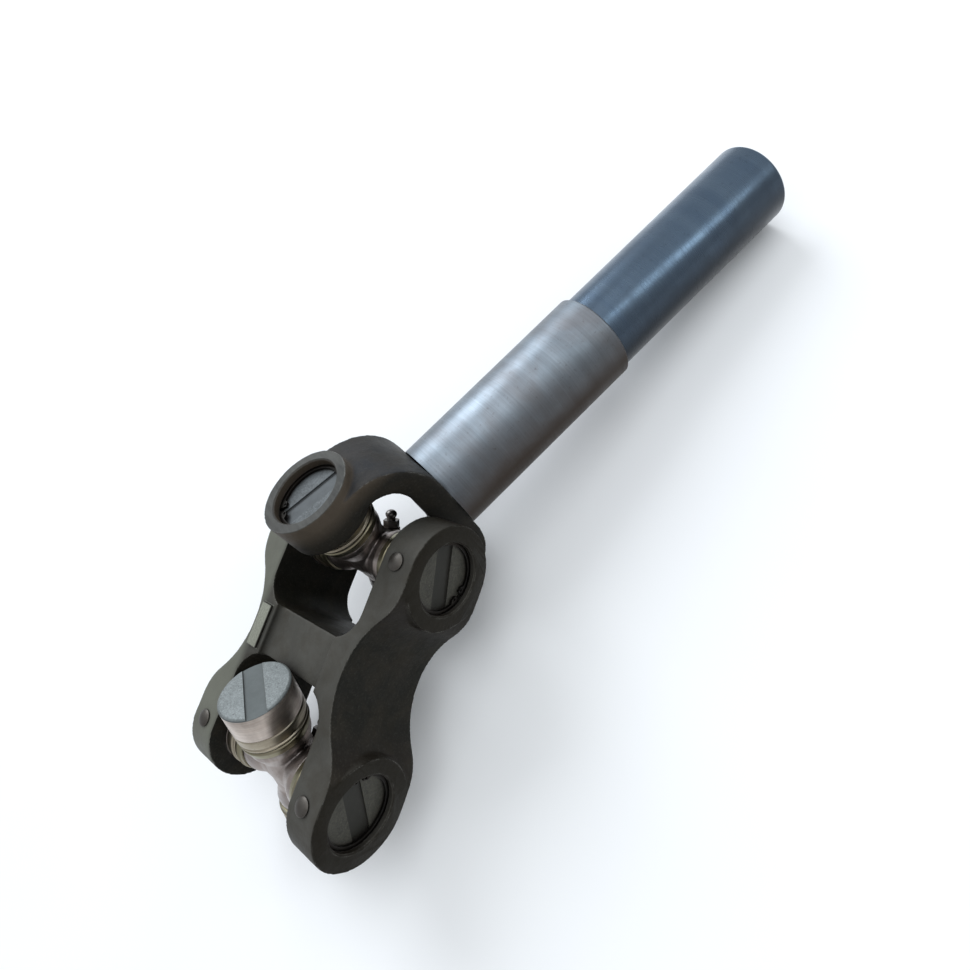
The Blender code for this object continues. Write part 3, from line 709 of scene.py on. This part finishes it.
def cup(label, body, place, groove_angle):
    chamfer, step, rim = 1.0 * MM, 1.2 * MM, 5.5 * MM
    floor = TRUNNION_END + 2 * GAP
    profile = [(0.0, CUP_FACE), (CUP_RADIUS - chamfer, CUP_FACE), (CUP_RADIUS, CUP_FACE - chamfer),
               (CUP_RADIUS, CUP_END), (CUP_BORE_RADIUS, CUP_END), (CUP_BORE_RADIUS, floor),
               (0.0, floor)]
    piece = turned("cup_" + label + "_body", rounded(profile, 0.35 * MM, count=3))
    groove = block("groove", (2 * rim, 50 * MM, 2 * step), (0.0, 0.0, CUP_FACE), 0.25 * MM)
    combine(piece, moved(groove, turn("Z", groove_angle)))
    # cups in the right ears face away from the key lamp and take the copy darkened as painted shade;
    # the other cups in ears take a darker copy
    finish = "cup_steel_shaded" if label.endswith("right") else "cup_steel_seated"
    if "loose" in body:
        finish = "cup_steel"
    finish_piece(piece, "cup_steel", body, place, ["cup_" + label], finish)


def seal_cap(label, body, place):
    """Pressed cap over the open end of a cup, with a bead at its rim."""
    outer, low, high = CUP_RADIUS, SEAL_END, CUP_END - GAP
    waist = outer - 0.9 * MM
    profile = [(outer - 0.5 * MM, high), (outer, high - 0.8 * MM), (outer, low + 3.4 * MM),
               (waist, low + 2.8 * MM), (waist, low + 1.7 * MM), (outer - 0.2 * MM, low + 1.2 * MM),
               (outer - 0.5 * MM, low), (CUP_BORE_RADIUS, low), (CUP_BORE_RADIUS, high)]
    piece = turned("seal_" + label, rounded(profile, 0.25 * MM, closed=True, count=2), closed=True)
    finish_piece(piece, "seal_steel", body, place, ["seal_cap_" + label])


def needles(label, body, place):
    """A full set of needle rollers as one piece."""
    count, roller = 34, 1.15 * MM
    middle = (NEEDLE_OUTER + NEEDLE_INNER) / 2
    low, high = SEAL_END + 1 * MM, TRUNNION_END - 1 * MM
    bm = bmesh.new()
    for index in range(count):
        angle = 2 * math.pi * index / count
        centre = (middle * math.cos(angle), middle * math.sin(angle), (low + high) / 2)
        bmesh.ops.create_cone(bm, cap_ends=True, segments=10, radius1=roller, radius2=roller,
                              depth=high - low, matrix=Matrix.Translation(centre))
    piece = new_object("needles_" + label + "_set", bm)
    finish_piece(piece, "needle_steel", body, place, ["needles_" + label])


def dust_ring(label, body, place):
    """Folded ring on the shoulder of the cross, with a lip towards the seal."""
    outer, inner = 19.2 * MM, TRUNNION_RADIUS + GAP
    low, high = SHOULDER + GAP, SEAL_END - 2 * GAP
    profile = [(outer - 0.7 * MM, high), (outer, high - 0.8 * MM), (outer, high - 2.0 * MM),
               (outer - 0.8 * MM, high - 2.6 * MM), (outer - 1.0 * MM, low), (inner, low),
               (inner, high)]
    piece = turned("dust_ring_" + label + "_lip", rounded(profile, 0.3 * MM, closed=True, count=2),
                   closed=True)
    finish_piece(piece, "zinc_ring", body, place, ["dust_ring_" + label])


def snap_ring(label, body, place, gap_angle):
    """Open spring ring with two rounded lugs, each with its plier hole."""
    inner, lug, edge, hole_radius = 17.9 * MM, 15.9 * MM, 0.1 * MM, 0.7 * MM
    half_gap, lug_end, lug_blend = 5.0, 16.0, 21.0
    outside = arc((0.0, 0.0), RING_RADIUS, half_gap, 360.0 - half_gap, 90)
    far_lug = arc((0.0, 0.0), lug, 360.0 - half_gap, 360.0 - lug_end, 4)
    inside = arc((0.0, 0.0), inner, 360.0 - lug_blend, lug_blend, 72)
    near_lug = arc((0.0, 0.0), lug, lug_end, half_gap, 4)
    outline = outside + far_lug + inside + near_lug
    ring = prism("snap_ring_" + label + "_clip", outline, RING_IN, RING_OUT)
    for sign in (1, -1):
        angle = math.radians(sign * 0.5 * (half_gap + lug_end))
        reach = 0.5 * (inner + lug)
        hole = turned("hole", [(0.0, RING_OUT + MM), (hole_radius, RING_OUT + MM),
                               (hole_radius, RING_IN - MM), (0.0, RING_IN - MM)], 20)
        offset = Matrix.Translation((reach * math.cos(angle), reach * math.sin(angle), 0.0))
        combine(ring, moved(hole, offset))
    bevel = ring.modifiers.new("edge", "BEVEL")
    bevel.width = edge
    bevel.segments = 2
    bevel.limit_method = "ANGLE"
    apply_modifiers(ring)
    moved(ring, turn("Z", gap_angle))
    finish_piece(ring, "spring_steel", body, place, ["snap_ring_" + label])


def bearing(label, cup_body, cross_body, cup_frame, cross_frame, groove_angle, gap_angle=None):
    side = ALONG[label.split("_")[1]]
    cup(label, cup_body, cup_frame @ side, groove_angle)
    seal_cap(label, cup_body, cup_frame @ side)
    needles(label, cup_body, cup_frame @ side)
    dust_ring(label, cross_body, cross_frame @ side)
    if gap_angle is not None:
        snap_ring(label, cup_body, cup_frame @ side, gap_angle)


# ---------------------------------------------------------------- surroundings

def surroundings():
    size = 40.0
    floor = prism("floor", [(-size, -size), (size, -size), (size, size), (-size, size)], -0.02, 0.0)
    n = Nodes("pale_floor")
    tone = n.mix(n.remap(n.noise(3, 3, 0.5), 0.3, 0.7), (0.86, 0.86, 0.87), (0.89, 0.89, 0.89))
    floor.data.materials.append(n.surface(tone, 0.8, 0.0))

    world = bpy.data.worlds.new("studio")
    bpy.context.scene.world = world
    world.use_nodes = True
    sky = world.node_tree.nodes["Background"]
    sky.inputs["Color"].default_value = (0.92, 0.96, 1.0, 1.0)
    sky.inputs["Strength"].default_value = 0.72
    bpy.context.scene.view_settings.view_transform = "Standard"

    centre = (UPPER + LOWER) / 2
    for name, place, size_x, size_y, watts, tint in LAMPS:
        light = bpy.data.lights.new(name, "AREA")
        light.shape = "RECTANGLE"
        light.size, light.size_y = size_x, size_y
        light.energy = watts
        light.color = tint
        lamp = bpy.data.objects.new(name, light)
        lamp.location = place
        lamp.rotation_euler = (centre - Vector(place)).to_track_quat("-Z", "Y").to_euler()
        bpy.context.scene.collection.objects.link(lamp)


# name, place, width, height, watts and tint of the soft lamps
LAMPS = [
    ("key", (-3.00, 2.10, 3.00), 2.6, 2.6, 120.0, (0.90, 0.95, 1.0)),
    ("overhead", (0.25, 0.35, 2.40), 1.8, 1.8, 16.0, (0.93, 0.97, 1.0)),
    ("strip", (1.10, 0.72, 0.97), 0.22, 0.9, 2.2, (0.88, 0.97, 1.0)),
]

LENS = 23.64
SENSOR = 36.0
CAMERA_PLACE = (0.19578, -0.08529, 0.36355)
CAMERA_TURN = (23.408, 24.541, 25.211)


def camera():
    data = bpy.data.cameras.new("camera")
    data.sensor_width = SENSOR
    data.lens = LENS
    data.clip_start = 0.01
    obj = bpy.data.objects.new("camera", data)
    obj.location = CAMERA_PLACE
    obj.rotation_euler = [math.radians(angle) for angle in CAMERA_TURN]
    bpy.context.scene.collection.objects.link(obj)
    bpy.context.scene.camera = obj


# ---------------------------------------------------------------- build

centre_yoke()
locking_pins()
shaft_yoke()
shaft_sleeve()
shaft_core()
cross("upper", UPPER_CROSS)
cross("lower", LOWER_CROSS)
bearing("upper_right", "centre_yoke", "upper_cross", UPPER_EARS, UPPER_CROSS, -70.0, 68.0)
bearing("upper_left", "centre_yoke", "upper_cross", UPPER_EARS, UPPER_CROSS, 60.0, 150.0)
bearing("upper_front", "shaft", "upper_cross", SHAFT, UPPER_CROSS, -8.0, 243.0)
bearing("upper_rear", "shaft", "upper_cross", SHAFT, UPPER_CROSS, 35.0, 60.0)
bearing("lower_right", "centre_yoke", "lower_cross", LOWER_EARS, LOWER_CROSS, -52.0, 200.0)
bearing("lower_left", "centre_yoke", "lower_cross", LOWER_EARS, LOWER_CROSS, 80.0, 250.0)
bearing("lower_front", "front_loose_cup", "lower_cross", LOWER_CROSS, LOWER_CROSS, 62.0)
bearing("lower_rear", "rear_loose_cup", "lower_cross", LOWER_CROSS, LOWER_CROSS, 15.0)
surroundings()
camera()
